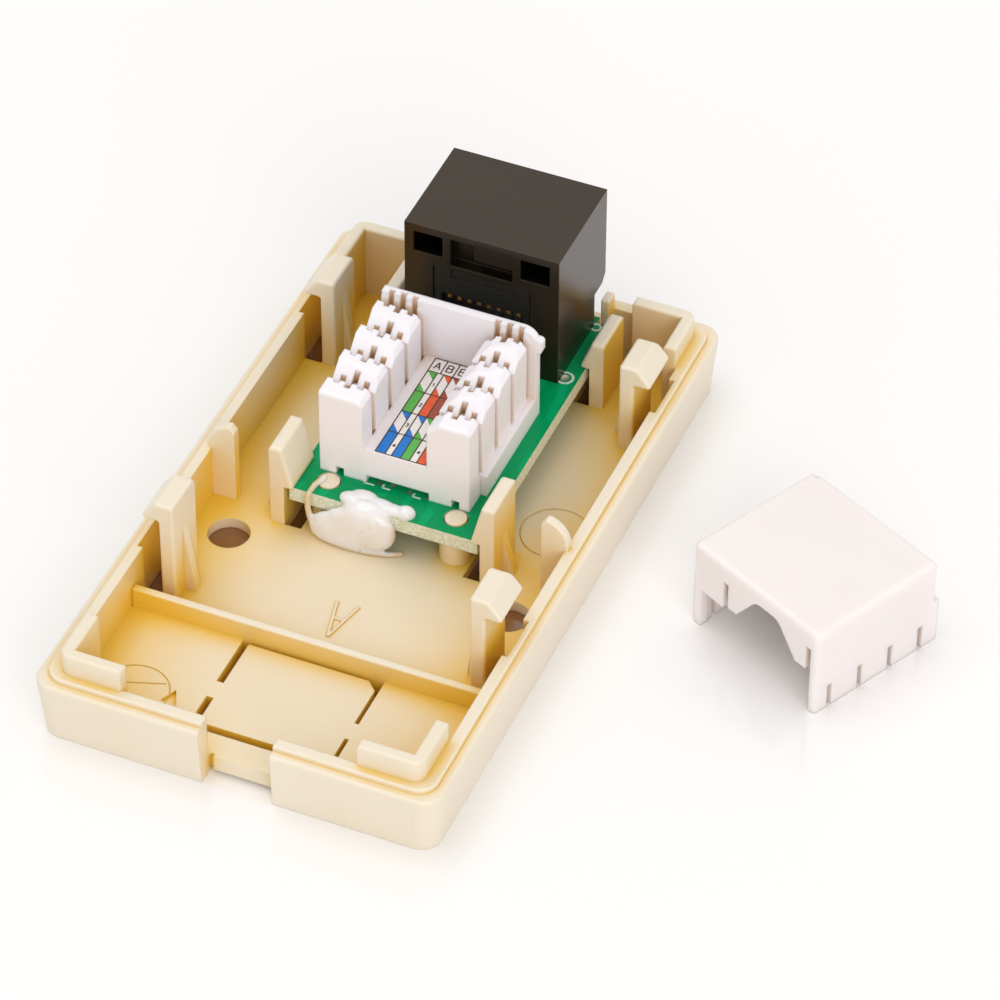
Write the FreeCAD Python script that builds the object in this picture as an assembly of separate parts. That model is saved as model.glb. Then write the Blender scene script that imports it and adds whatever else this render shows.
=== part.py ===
import FreeCAD, Part
import math
import os

# Surface mount jack box, opened: a moulded base with its circuit board, modular jack, contact
# block with two rows of insulation displacement slots, and the loose wire cap beside it.
# Millimetres. The origin is the centre of the base's underside, the face that goes on the wall.
# +X runs across the base, +Y along it towards the jack, +Z away from the wall.

# Base moulding
base_width = 40.0
base_length = 70.0
wall_height = 6.5
wall_thickness = 2.0
wall_draft = 0.45
corner_radius = 2.0
inner_corner_radius = 0.8
rim_rounding = 0.35
rim_land = 0.6
bead_height = 0.5
bead_width = 1.1
bead_rounding = 0.2
floor_thickness = 1.2
deck_thickness = 2.0
deck_length = 14.8
divider_thickness = 0.8
divider_height = 3.0
edge_rounding = 0.2
root_depth = 0.5

# Cable entry: a notch in the front wall and a panel that breaks out of the deck
notch_width = 7.0
notch_shift = 0.3
notch_strip_lift = 0.4
notch_strip_lip = 1.0
notch_nick = 0.45
panel_width = 13.1
panel_length = 10.9
panel_shift = 0.65
panel_corner = 1.0
panel_left_slit = 0.7
panel_right_slit = 0.4
panel_back_slit = 0.35
panel_front_slit = 0.8
bridge_length = 2.1
bridge_inset = 5.5

# Mould marks
mark_radius = 3.4
mark_line = 0.14
mark_depth = 0.09
deck_mark_x = -13.0
deck_mark_inset = 4.8
chord_start = (-1.2, 0.7)
chord_end = (2.35, 1.95)
mark_pocket = ((2.74, -0.13), (4.41, -0.25), (3.52, 1.61))
mark_pocket_depth = 0.35
floor_mark_x = 13.9
floor_mark_y = 7.1
letter_y = -14.1
letter_height = 4.7
letter_width = 2.2
letter_stroke = 0.28
letter_rise = 0.15

# Screw holes
screw_hole_diameter = 4.1
screw_spacing = 28.6
screw_y = -5.0

# Ribs in the four corners that locate the cover
corner_rib_height = 8.1
corner_rib_long = 6.3
corner_rib_short = 6.0
corner_rib_thickness = 1.25
corner_rib_overlap = 0.2
corner_rib_corner = 1.2
corner_rib_rounding = 0.3
corner_rib_side_gap = 0.1

# Cover latches
latch_length = 5.0
latch_thickness = 1.5
latch_wall_gap = 1.7
front_latch_y = -15.4
far_latch_y = 20.5
front_latch_height = 11.7
far_latch_height = 10.4
latch_nose_rise = 2.1
latch_nose_blunt = 0.45
latch_nose_reach = 1.65
latch_crest_reach = 0.3
latch_crest_rounding = 0.9
latch_edge_rounding = 0.3
latch_recess = 0.55
gusset_reach = 1.1
gusset_height = 7.7
gusset_thickness = 1.0
gusset_set = 2.0

# Guide fins half way along the side walls
fin_y = 0.0
fin_thickness = 1.0
fin_reach = 2.4
fin_shoulder = 8.3
fin_crest = 8.9
fin_crest_set = 0.5
fin_bulge = 0.5
fin_overlap = 0.3
fin_tail = 6.0

# Circuit board
board_standoff = 3.0
board_thickness = 1.6
board_width = 19.2
board_length = 33.9
board_end_gap = 0.5
board_corner_gap = 0.25
lead_hole = 0.7
blade_hole = 1.2
ring_hole = 0.9
ring_hole_inset = 9.5
ring_hole_spacing = 16.6

# Board clips, pegs and supports on the base
clip_gap = 0.4
clip_thickness = 1.45
clip_length = 5.1
front_clip_set = -0.4
far_clip_set = 26.4
clip_bite = 0.5
clip_play = 0.1
clip_blunt = 0.4
front_clip_rise = 4.7
far_clip_rise = 3.3
clip_crest = 1.3
clip_rounding = 0.35
clip_hole_inset = 1.3
clip_gusset_reach = 1.2
clip_gusset_height = 4.5
peg_diameter = 2.1
peg_play = 0.3
peg_seat_diameter = 3.2
peg_spacing = 13.0
peg_inset = 2.2
peg_proud = 0.05
support_width = 1.0
support_inset = 2.2
support_length = 3.2

# Frame of the jack opening in the far wall
frame_thickness = 0.9
frame_depth = 1.1
frame_height = 7.4
frame_gap = 0.35
sill_height = 3.0

# Jack housing
jack_width = 15.9
jack_height = 15.05
jack_depth = 11.95
jack_overhang = 1.4
nose_rise = 3.9
nose_depth = 2.7
nose_chamfer = 0.8
port_width = 11.7
port_height = 6.7
port_floor = 1.0
port_back_wall = 1.35
latch_way_width = 6.2
latch_way_height = 2.0
window_width = 6.4
window_height = 3.2
window_drop = 0.75
window_plug_width = 4.0
window_plug_height = 1.9
window_depth = 0.15
window_hole_depth = 1.2
pocket_width = 3.0
pocket_height = 2.4
pocket_spacing = 11.0
pocket_drop = 0.85
pocket_depth = 4.0
jack_peg_diameter = 3.0
jack_peg_spacing = 12.4
jack_peg_set = 4.6
jack_peg_length = 2.2
jack_peg_play = 0.3

# Contact carrier and its eight wires
carrier_width = 9.8
carrier_gap = 0.1
carrier_wall = 1.15
carrier_depth = 8.55
carrier_rise = 10.5
comb_rise = 5.9
comb_width = 8.4
comb_height = 1.5
panel_line_rise = 9.4
panel_line_width = 6.5
panel_line_depth = 0.15
wire_count = 8
wire_pitch = 1.02
wire_width = 0.4
wire_thickness = 0.35
wire_bend = 0.7
wire_end_inset = 0.6
wire_leg_inset = 4.4
wire_top_rise = 5.5
wire_end_rise = 6.65
wire_slot_play = 0.05
lead_length = 0.6

# Contact block
block_setback = 3.4
left_row_outer = 7.95
left_row_width = 4.45
right_row_outer = 7.35
right_row_width = 4.35
slot_count = 4
slot_pitch = 3.81
first_slot = 2.6
last_slot = 1.42
slot_width = 0.8
slot_rise = 2.6
tooth_rise = 10.2
tooth_slope_length = 1.75
tooth_slope_drop = 1.6
front_tooth_drop = 0.4
front_rounding = 0.4
left_crown = ((0.0, 0.0), (3.0, 0.3), (4.1, 0.6), (4.45, 1.1))
right_crown = ((0.0, 0.9), (0.5, 0.25), (1.2, 0.0), (3.1, 0.35), (4.35, 1.5))
block_floor_rise = 4.05
back_wall_thickness = 0.9
back_wall_rise = 10.65
back_wall_corner = 1.6
ear_reach = 0.5
ear_height = 1.6
ear_drop = 0.9
skirt_reach = 0.62
skirt_height = 2.4
skirt_front_set = 2.65
skirt_back_set = 0.55
left_blade_x = -5.75
right_blade_x = 5.15
blade_pocket_width = 0.6
blade_pocket_front = 1.15
blade_pocket_back = 1.6
blade_pocket_wall = 0.3
side_pocket_width = 0.55
side_pocket_set = 1.2
side_pocket_front = 0.4
side_pocket_back = 0.65
side_pocket_depth = 2.6
foot_notch_height = 0.9
foot_notch_depth = 1.5
foot_notch_width = 0.8
foot_notch_x = 5.9
foot_arch_width = 6.4

# Blades in the contact block
blade_thickness = 0.4
blade_length = 2.1
blade_top_drop = 1.6
blade_slit = 0.35
blade_slit_depth = 4.5
blade_leg_width = 0.8
blade_leg_length = 0.7

# Solder cones under the board
lead_solder_radius = 0.46
blade_solder_radius = 0.95
solder_height = 0.7
solder_tip = 0.6

# Paper label on the block's floor
label_thickness = 0.1
label_left_margin = 0.85
label_right_margin = 0.1
label_front_margin = 0.1
label_back_margin = 0.05

# Glue dab at the board's front edge
glue_x = -3.3
glue_set = 0.4
glue_half_width = 6.3
glue_half_depth = 2.2
glue_rise = 5.6

# Loose wire cap, lying beside the base
cap_x = 40.35
cap_y = 5.7
cap_turn = -26.3
cap_width = 16.6
cap_depth = 15.2
cap_height = 9.8
cap_wall = 1.0
cap_top = 1.2
cap_rounding = 0.5
cap_skirt_height = 5.1
cap_skirt_reach = 0.3
cap_notch_width = 0.55
cap_notch_height = 2.75
cap_post_left = 1.2
cap_post_right = 0.8
cap_pane_width = 2.9
cap_pane_bottom = 4.5
cap_slot_width = 0.65
cap_slot_top = 7.7
cap_tab_bottom = 4.9
cap_arch_top = 8.2
cap_arch_left = 5.9
cap_arch_right = 13.8
cap_arch_slope = 2.5
cap_arch_corner = 1.3
cap_nick = 0.6
cap_rib_thickness = 0.9
cap_rib_drop = 3.0

# Places that follow from the sizes above
half_width = base_width / 2
half_length = base_length / 2
inner_x = half_width - wall_thickness
inner_y = half_length - wall_thickness
divider_y = -inner_y + deck_length
wall_top = wall_height + bead_height
board_bottom = floor_thickness + board_standoff
board_top = board_bottom + board_thickness
board_back = inner_y - board_end_gap
board_front = board_back - board_length
board_edge = board_width / 2
peg_y = board_front + peg_inset
frame_x = jack_width / 2 + frame_gap
jack_front = board_back + jack_overhang
jack_back = jack_front - jack_depth
jack_top = board_top + jack_height
nose_bottom = board_top + nose_rise
nose_back = jack_front - nose_depth
port_bottom = nose_bottom + port_floor
port_top = port_bottom + port_height
carrier_back = jack_back + carrier_gap
carrier_front = carrier_back + carrier_depth
wire_leg_y = jack_front - wire_leg_inset
block_front = board_front + block_setback
slot_centres = [block_front + first_slot + k * slot_pitch for k in range(slot_count)]
block_back = slot_centres[-1] + last_slot
tooth_top = board_top + tooth_rise
left_row_inner = left_row_outer - left_row_width
right_row_inner = right_row_outer - right_row_width
block_floor = board_top + block_floor_rise

# Overrun of a cutting solid past the face it opens
past = 1.0


def vec(x, y, z):
    return FreeCAD.Vector(x, y, z)


def block(x0, x1, y0, y1, z0, z1):
    """Box between two limits on each axis."""
    return Part.makeBox(x1 - x0, y1 - y0, z1 - z0, vec(x0, y0, z0))


def pin(x, y, z, radius, height):
    """Upright cylinder."""
    return Part.makeCylinder(radius, height, vec(x, y, z))


def prism(points, direction):
    """Straight solid on a closed outline of points."""
    return Part.Face(Part.makePolygon(points + points[:1])).extrude(direction)


def across_x(outline, x0, x1):
    """Prism along X on an outline of (y, z) pairs."""
    return prism([vec(x0, y, z) for y, z in outline], vec(x1 - x0, 0, 0))


def across_y(outline, y0, y1):
    """Prism along Y on an outline of (x, z) pairs."""
    return prism([vec(x, y0, z) for x, z in outline], vec(0, y1 - y0, 0))


def across_z(outline, z0, z1):
    """Prism along Z on an outline of (x, y) pairs."""
    return prism([vec(x, y, z0) for x, y in outline], vec(0, 0, z1 - z0))


def rounded_wire(half_x, half_y, radius, z):
    """Rectangle with rounded corners, centred on the origin."""
    edges = []
    corners = [(1, 1, 0), (-1, 1, 90), (-1, -1, 180), (1, -1, 270)]
    last = None
    first = None
    for sx, sy, start in corners:
        centre = vec(sx * (half_x - radius), sy * (half_y - radius), z)
        circle = Part.Circle(centre, vec(0, 0, 1), radius)
        a = math.radians(start)
        arc = Part.Arc(circle, a, a + math.pi / 2).toShape()
        begin = arc.valueAt(arc.FirstParameter)
        end = arc.valueAt(arc.LastParameter)
        if last is None:
            first = begin
        else:
            edges.append(Part.makeLine(last, begin))
        edges.append(arc)
        last = end
    edges.append(Part.makeLine(last, first))
    return Part.Wire(edges)


def rounded_slab(half_x, half_y, radius, z0, z1):
    """Upright slab on a rounded rectangle."""
    face = Part.Face(rounded_wire(half_x, half_y, radius, z0))
    return face.extrude(vec(0, 0, z1 - z0))


def mirrored(shape):
    """The same shape on the other side of the YZ plane."""
    return shape.mirror(vec(0, 0, 0), vec(1, 0, 0))


def joined(shapes):
    """One solid from shapes that meet."""
    return shapes[0].multiFuse(shapes[1:]).removeSplitter()


def rounded_above(solid, z, radius):
    """Solid with each edge above a height rounded."""
    edges = [e for e in solid.Edges if e.CenterOfMass.z > z]
    return solid.makeFillet(radius, edges)


def rounded_bar(x0, x1, y0, y1, z0, z1):
    """Bar on the floor with rounded top and upright edges."""
    limit = min(x1 - x0, y1 - y0) / 2 - 0.02
    return rounded_above(block(x0, x1, y0, y1, z0, z1), z0 + 0.01, min(edge_rounding, limit))


# Base moulding


def base_shell():
    """Tray with drafted outside, ledge, bead, floor, deck and divider."""
    foot = rounded_wire(half_width - wall_draft, half_length - wall_draft, corner_radius, 0)
    draft_top = wall_height - rim_land
    rim = rounded_wire(half_width, half_length, corner_radius, draft_top)
    body = Part.makeLoft([foot, rim], True, True)
    land = rounded_slab(half_width, half_length, corner_radius, draft_top, wall_height)
    top = [e for e in land.Edges if e.BoundBox.ZMin > wall_height - 0.01]
    body = body.fuse(land.makeFillet(rim_rounding, top)).removeSplitter()
    bead = rounded_slab(inner_x + bead_width, inner_y + bead_width,
                        inner_corner_radius + bead_width, floor_thickness, wall_top)
    bead = bead.makeFillet(bead_rounding, [e for e in bead.Edges if e.BoundBox.ZMin > wall_height])
    cavity = rounded_slab(inner_x, inner_y, inner_corner_radius, floor_thickness, wall_top + past)
    deck = block(-inner_x, inner_x, -inner_y, divider_y, 0, deck_thickness)
    divider = rounded_bar(-inner_x, inner_x, divider_y, divider_y + divider_thickness,
                          floor_thickness - root_depth, floor_thickness + divider_height)
    return joined([body.fuse(bead).cut(cavity), deck, divider])


def entry_cuts():
    """Notch in the front wall and slits round the break-out panel."""
    left = panel_shift - panel_width / 2
    right = panel_shift + panel_width / 2
    back = divider_y - panel_back_slit
    front = back - panel_length
    low = -past
    high = deck_thickness + past
    notch = block(notch_shift - notch_width / 2, notch_shift + notch_width / 2,
                  -half_length - past, -inner_y, low, wall_top + past)
    far_left = left - panel_left_slit
    far_right = right + panel_right_slit
    bridge0 = back - bridge_inset - bridge_length
    bridge1 = back - bridge_inset
    cuts = [notch]
    nick_x = notch_shift - notch_width / 2
    cuts.append(block(nick_x, notch_shift + notch_width / 2, -inner_y - past,
                      -inner_y + notch_strip_lip, low, notch_strip_lift))
    cuts.append(block(nick_x, nick_x + notch_nick, -inner_y - past, -inner_y + notch_nick,
                      low, high))
    cuts.append(block(far_left, far_right, front - panel_front_slit, front, low, high))
    cuts.append(block(far_left, far_right, back, divider_y, low, high))
    cuts.append(block(far_left, left, front, bridge0, low, high))
    cuts.append(block(far_left, left, bridge1, back, low, high))
    cuts.append(block(right, far_right, front, bridge0, low, high))
    cuts.append(block(right, far_right, bridge1, back, low, high))
    corner = [(right, back), (right - panel_corner, back), (right, back - panel_corner)]
    cuts.append(across_z(corner, low, high))
    return cuts


def ring_mark(x, y, top):
    """Thin round groove left by the mould."""
    outer = pin(x, y, top - mark_depth, mark_radius, mark_depth + past)
    inner = pin(x, y, top - mark_depth, mark_radius - mark_line, mark_depth + past)
    return outer.cut(inner)


def chord_mark(x, y):
    """Straight groove across the deck's round mark."""
    start = vec(x + chord_start[0], y + chord_start[1], deck_thickness - mark_depth)
    end = vec(x + chord_end[0], y + chord_end[1], start.z)
    side = (end - start).normalize().cross(vec(0, 0, 1)) * mark_line / 2
    return prism([start + side, end + side, end - side, start - side], vec(0, 0, past))


def pocket_mark(x, y):
    """Small three-cornered pocket beside the deck's round mark."""
    outline = [(x + dx, y + dy) for dx, dy in mark_pocket]
    return across_z(outline, deck_thickness - mark_pocket_depth, deck_thickness + past)


def mark_cuts():
    """Round mould marks in the deck and in the floor, with the deck's chord and pocket."""
    deck_y = -inner_y + deck_mark_inset
    return [ring_mark(deck_mark_x, deck_y, deck_thickness), chord_mark(deck_mark_x, deck_y),
            pocket_mark(deck_mark_x, deck_y),
            ring_mark(floor_mark_x, floor_mark_y, floor_thickness)]


def letter_mark():
    """Raised mould letter: two slanted strokes and a bar."""
    z0 = floor_thickness - root_depth
    z1 = floor_thickness + letter_rise
    foot = letter_y + letter_height
    half = letter_width / 2
    apex = letter_stroke / 2
    left = [(-apex, letter_y), (apex, letter_y), (apex - half, foot), (-apex - half, foot)]
    right = [(-x, y) for x, y in left]
    mid = letter_y + letter_height / 2
    bar = block(-half / 2, half / 2, mid, mid + letter_stroke, z0, z1)
    return [across_z(left, z0, z1), across_z(right, z0, z1), bar]


def screw_holes():
    """Clearance holes for the two wall screws."""
    high = floor_thickness + 2 * past
    return [pin(s * screw_spacing / 2, screw_y, -past, screw_hole_diameter / 2, high)
            for s in (-1, 1)]


def corner_rib(side, end):
    """L rib in one corner, a long arm along X and a short arm along Y, on a filled corner."""
    top = floor_thickness + corner_rib_height
    edge_y = inner_y + corner_rib_overlap
    edge_x = inner_x - corner_rib_side_gap
    near_y = edge_y - corner_rib_thickness
    near_x = edge_x - corner_rib_thickness
    foot = floor_thickness - root_depth
    short_y = edge_y - corner_rib_short
    outline = [(edge_x, edge_y), (edge_x, short_y), (near_x, short_y), (near_x, near_y),
               (edge_x - corner_rib_long, near_y), (edge_x - corner_rib_long, edge_y)]
    rib = across_z([(side * x, end * y) for x, y in outline], foot, top)
    corner = vec(side * edge_x, end * edge_y, (foot + top) / 2)
    upright = [e for e in rib.Edges if e.CenterOfMass.distanceToPoint(corner) < 0.01]
    rib = rib.makeFillet(corner_rib_corner, upright)
    rib = rounded_above(rib, top - corner_rib_rounding, corner_rib_rounding)
    x0, x1 = sorted((side * near_x, side * inner_x))
    y0, y1 = sorted((end * short_y, end * inner_y))
    return [rib, block(x0, x1, y0, y1, foot, wall_top)]


def latch(y0, height):
    """Right-hand cover latch: post, hooked head with a rounded far crest, inner gusset."""
    outer = inner_x - latch_wall_gap
    inner = outer - latch_thickness
    foot = floor_thickness - root_depth
    top = floor_thickness + height
    under = top - latch_nose_rise
    tip = outer + latch_nose_reach
    head = [(inner, foot), (inner, top), (outer + latch_crest_reach, top),
            (tip, under + latch_nose_blunt), (tip, under), (outer, under), (outer, foot)]
    y1 = y0 + latch_length
    hook = across_y(head, y0, y1)
    crest = [e for e in hook.Edges if e.BoundBox.ZMin > top - 0.01 and e.BoundBox.YMin > y1 - 0.01]
    hook = hook.makeFillet(latch_crest_rounding, crest)
    hook = rounded_above(hook, foot + past, latch_edge_rounding)
    web_y = y0 + gusset_set
    web = [(inner, foot), (inner - gusset_reach, foot), (inner - gusset_reach, floor_thickness),
           (inner, floor_thickness + gusset_height)]
    return [hook, across_y(web, web_y, web_y + gusset_thickness)]


def latch_cut(y0):
    """Core hole under a latch nose and its recess in the wall, on the right-hand side."""
    return block(inner_x - latch_wall_gap, inner_x + latch_recess, y0, y0 + latch_length,
                 -past, wall_top + past)


def fin():
    """Right-hand guide fin beside the wall, with a curved crest."""
    foot = floor_thickness - root_depth
    inner = inner_x - fin_reach
    outer = inner_x + fin_overlap
    shoulder = floor_thickness + fin_shoulder
    crest = floor_thickness + fin_crest
    tail = floor_thickness + fin_tail
    y0 = fin_y - fin_thickness / 2
    a = vec(inner, y0, shoulder)
    b = vec(inner + fin_crest_set, y0, crest)
    c = vec(outer, y0, tail)
    bulge = (c - b) * 0.5 + b + vec(fin_bulge, 0, fin_bulge)
    edges = [Part.makeLine(vec(inner, y0, foot), a), Part.makeLine(a, b)]
    edges.append(Part.Arc(b, bulge, c).toShape())
    edges.append(Part.makeLine(c, vec(outer, y0, foot)))
    edges.append(Part.makeLine(vec(outer, y0, foot), vec(inner, y0, foot)))
    plate = Part.Face(Part.Wire(edges)).extrude(vec(0, fin_thickness, 0))
    return rounded_above(plate, wall_top, edge_rounding)


def clip(y0, rise):
    """Right-hand board clip: post with a hooked nose over the board's edge."""
    inner = board_edge + clip_gap
    outer = inner + clip_thickness
    foot = floor_thickness - root_depth
    under = board_top + clip_play
    tip = board_edge - clip_bite
    top = board_top + rise
    outline = [(inner, foot), (inner, under), (tip, under), (tip, under + clip_blunt),
               (outer - clip_crest, top), (outer, top), (outer, foot)]
    post = across_y(outline, y0, y0 + clip_length)
    return rounded_above(post, under + clip_blunt + 0.1, clip_rounding)


def clip_gusset(y0):
    """Gusset on the outer face of a right-hand board clip."""
    outer = board_edge + clip_gap + clip_thickness
    foot = floor_thickness - root_depth
    mid = y0 + clip_length / 2
    web = [(outer, foot), (outer + clip_gusset_reach, foot),
           (outer + clip_gusset_reach, floor_thickness),
           (outer, floor_thickness + clip_gusset_height)]
    return across_y(web, mid - gusset_thickness / 2, mid + gusset_thickness / 2)


def clip_cut(y0):
    """Core hole under a clip nose, on the right-hand side."""
    return block(board_edge - clip_hole_inset, board_edge + clip_gap, y0, y0 + clip_length,
                 -past, floor_thickness + past)


def clips():
    """Pairs of board clips at both ends of the board, as (shapes, cuts)."""
    shapes = []
    cuts = []
    for start, rise in ((front_clip_set, front_clip_rise), (far_clip_set, far_clip_rise)):
        y0 = board_front + start
        post = clip(y0, rise)
        hole = clip_cut(y0)
        shapes += [post, mirrored(post)]
        cuts += [hole, mirrored(hole)]
    gusset = clip_gusset(board_front + front_clip_set)
    return shapes + [gusset, mirrored(gusset)], cuts


def board_seats():
    """Pegs that carry the board's front end and ribs that carry its far end."""
    foot = floor_thickness - root_depth
    shapes = []
    for side in (-1, 1):
        x = side * peg_spacing / 2
        shapes.append(pin(x, peg_y, foot, peg_seat_diameter / 2, board_bottom - foot))
        shapes.append(pin(x, peg_y, foot, peg_diameter / 2, board_top + peg_proud - foot))
        inner = side * (board_edge - support_inset - support_width)
        outer = side * (board_edge - support_inset)
        x0, x1 = sorted((inner, outer))
        y1 = board_back - board_end_gap
        shapes.append(block(x0, x1, y1 - support_length, y1, foot, board_bottom))
    return shapes


def jack_frame():
    """Upright strips beside the jack opening in the far wall."""
    top = floor_thickness + frame_height
    foot = floor_thickness - root_depth
    strip = block(frame_x, frame_x + frame_thickness, inner_y - frame_depth, inner_y + past / 2,
                  foot, top)
    strip = rounded_above(strip, floor_thickness + board_standoff, edge_rounding)
    return [strip, mirrored(strip)]


def base():
    """Base moulding in one piece."""
    sill = floor_thickness + sill_height
    shell = base_shell()
    cuts = entry_cuts() + mark_cuts() + screw_holes()
    cuts.append(block(-frame_x, frame_x, inner_y - past, half_length + past, sill,
                      wall_top + past))
    shapes = letter_mark() + board_seats() + jack_frame()
    for y0, height in ((front_latch_y, front_latch_height), (far_latch_y, far_latch_height)):
        hole = latch_cut(y0)
        cuts += [hole, mirrored(hole)]
        hook = latch(y0, height)
        shapes += hook + [mirrored(s) for s in hook]
    clip_shapes, clip_cuts = clips()
    cuts += clip_cuts
    shapes += clip_shapes + [fin(), mirrored(fin())]
    for side in (-1, 1):
        for end in (-1, 1):
            shapes += corner_rib(side, end)
    for cut in cuts:
        shell = shell.cut(cut)
    return joined([shell] + shapes)


# Circuit board


def wire_places():
    """X places of the eight jack contacts."""
    first = -(wire_count - 1) * wire_pitch / 2
    return [first + k * wire_pitch for k in range(wire_count)]


def blade_places():
    """(x, y) places of the contact block's blades, left row then right row."""
    return [(x, y) for x in (left_blade_x, right_blade_x) for y in slot_centres]


def circuit_board():
    """Board with its peg, lead and blade holes and its two notched far corners."""
    board = block(-board_edge, board_edge, board_front, board_back, board_bottom, board_top)
    low = board_bottom - past
    tall = board_thickness + 2 * past
    cuts = []
    for side in (-1, 1):
        x = side * peg_spacing / 2
        cuts.append(pin(x, peg_y, low, peg_diameter / 2 + peg_play / 2, tall))
        x = side * jack_peg_spacing / 2
        y = jack_back + jack_peg_set
        cuts.append(pin(x, y, low, jack_peg_diameter / 2 + jack_peg_play / 2, tall))
        x = side * ring_hole_spacing / 2
        cuts.append(pin(x, board_back - ring_hole_inset, low, ring_hole / 2, tall))
    notch = block(frame_x - board_corner_gap, board_edge + past,
                  inner_y - frame_depth - board_corner_gap, board_back + past,
                  low, board_top + past)
    cuts += [notch, mirrored(notch)]
    cuts += [pin(x, wire_leg_y, low, lead_hole / 2, tall) for x in wire_places()]
    cuts += [pin(x, y, low, blade_hole / 2, tall) for x, y in blade_places()]
    for cut in cuts:
        board = board.cut(cut)
    return board


# Jack


def jack_body():
    """Outside of the housing: box with a nose that overhangs the board's edge."""
    c = nose_chamfer
    outline = [(jack_back, board_top), (nose_back, board_top), (nose_back, nose_bottom),
               (jack_front - c, nose_bottom), (jack_front, nose_bottom + c),
               (jack_front, jack_top), (jack_back, jack_top)]
    body = across_x(outline, -jack_width / 2, jack_width / 2)
    pegs = [pin(s * jack_peg_spacing / 2, jack_back + jack_peg_set, board_top - jack_peg_length,
                jack_peg_diameter / 2, jack_peg_length + past) for s in (-1, 1)]
    return joined([body] + pegs)


def port_cuts():
    """Plug port with the way for the plug's latch above it."""
    start = jack_back + port_back_wall
    end = jack_front + past
    half = port_width / 2
    way = latch_way_width / 2
    port = block(-half, half, start, end, port_bottom, port_top)
    latch_way = block(-way, way, start, end, port_top - past, port_top + latch_way_height)
    return [port, latch_way]


def jack_back_cuts():
    """Window with its raised panel and two pockets in the housing's back, and the carrier's bay."""
    top = jack_top - window_drop
    half = window_width / 2
    plug_left = half - window_plug_width
    low = top - window_height
    cuts = [block(-half, half, jack_back - past, jack_back + window_depth, low, top)]
    deep = jack_back + window_hole_depth
    cuts.append(block(-half, plug_left, jack_back, deep, low, top))
    cuts.append(block(plug_left, half, jack_back, deep, low, top - window_plug_height))
    for side in (-1, 1):
        x = side * pocket_spacing / 2
        pocket_top = jack_top - pocket_drop
        cuts.append(block(x - pocket_width / 2, x + pocket_width / 2, jack_back - past,
                          jack_back + pocket_depth, pocket_top - pocket_height, pocket_top))
    bay = carrier_width / 2 + carrier_gap
    front = carrier_front + carrier_gap
    cuts.append(block(-bay, bay, jack_back - past, front, board_top - past, port_bottom))
    cuts.append(block(-bay, bay, jack_back - past, jack_back + port_back_wall,
                      board_top, board_top + carrier_rise + carrier_gap))
    return cuts


def jack_housing():
    """Black housing of the jack."""
    body = jack_body()
    for cut in port_cuts() + jack_back_cuts():
        body = body.cut(cut)
    return body


def jack_insert():
    """Contact carrier: foot under the port, back wall with the comb window."""
    half = carrier_width / 2
    foot_top = port_bottom - carrier_gap
    foot = block(-half, half, carrier_back, carrier_front, board_top, foot_top)
    wall = block(-half, half, carrier_back, carrier_back + carrier_wall, board_top,
                 board_top + carrier_rise)
    body = foot.fuse(wall).removeSplitter()
    comb = board_top + comb_rise
    body = body.cut(block(-comb_width / 2, comb_width / 2, carrier_back - past,
                          carrier_back + carrier_wall + past, comb, comb + comb_height))
    line = board_top + panel_line_rise
    body = body.cut(block(-panel_line_width / 2, panel_line_width / 2, carrier_back - past,
                          carrier_back + panel_line_depth, line, board_top + carrier_rise + past))
    wide = wire_width / 2 + wire_slot_play
    deep = wire_thickness / 2 + wire_slot_play
    for x in wire_places():
        body = body.cut(block(x - wide, x + wide, wire_leg_y - deep, wire_leg_y + deep,
                              board_top - past, foot_top + past))
    return body


def contact_wire(x):
    """One contact: lead through the board, bend at the front, spring run to the back comb."""
    half = wire_thickness / 2
    start = vec(0, wire_leg_y, board_bottom - lead_length)
    corner = vec(0, wire_leg_y, board_top + wire_top_rise)
    end = vec(0, carrier_back + wire_end_inset, board_top + wire_end_rise)
    up = vec(0, 0, 1)
    run = (end - corner).normalize()
    turn = math.acos(up.dot(run))
    reach = wire_bend * math.tan(turn / 2)
    a = corner - up * reach
    b = corner + run * reach
    centre = a + vec(0, -wire_bend, 0)
    mid = centre + (corner - centre).normalize() * wire_bend
    path = Part.Wire([Part.makeLine(start, a), Part.Arc(a, mid, b).toShape(),
                      Part.makeLine(b, end)])
    section = Part.makePolygon([vec(-wire_width / 2, wire_leg_y - half, start.z),
                                vec(wire_width / 2, wire_leg_y - half, start.z),
                                vec(wire_width / 2, wire_leg_y + half, start.z),
                                vec(-wire_width / 2, wire_leg_y + half, start.z),
                                vec(-wire_width / 2, wire_leg_y - half, start.z)])
    wire = path.makePipeShell([section], True, False)
    wire.translate(vec(x, 0, 0))
    return wire


# Contact block


def comb_outline():
    """(y, z) outline of a row of teeth, from the front foot round to the back foot."""
    half = slot_width / 2
    slot_bottom = board_top + slot_rise
    front_top = tooth_top - front_tooth_drop
    points = [(block_front, board_top), (block_front, front_top)]
    crest = front_top
    for k, y in enumerate(slot_centres):
        points += [(y - half, crest), (y - half, slot_bottom), (y + half, slot_bottom)]
        if k < slot_count - 1:
            points.append((y + half, tooth_top - tooth_slope_drop))
            points.append((y + half + tooth_slope_length, tooth_top))
        else:
            points.append((y + half, tooth_top))
        crest = tooth_top
    points += [(block_back, tooth_top), (block_back, board_top)]
    return points


def row(side, outer, inner, crown):
    """One row of teeth, its tops following a crown of (inward, down) pairs from the outer side."""
    outline = [(side * outer, board_top)]
    outline += [(side * (outer - inward), tooth_top - down) for inward, down in crown]
    outline.append((side * inner, board_top))
    teeth = across_x(comb_outline(), -outer - past, outer + past)
    solid = across_y(outline, block_front, block_back).common(teeth)
    front = [e for e in solid.Edges
             if e.BoundBox.YMax < block_front + 0.01 and e.BoundBox.ZMax > block_floor + past
             and e.BoundBox.ZLength < e.BoundBox.XLength]
    return solid.makeFillet(front_rounding, front)


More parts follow.
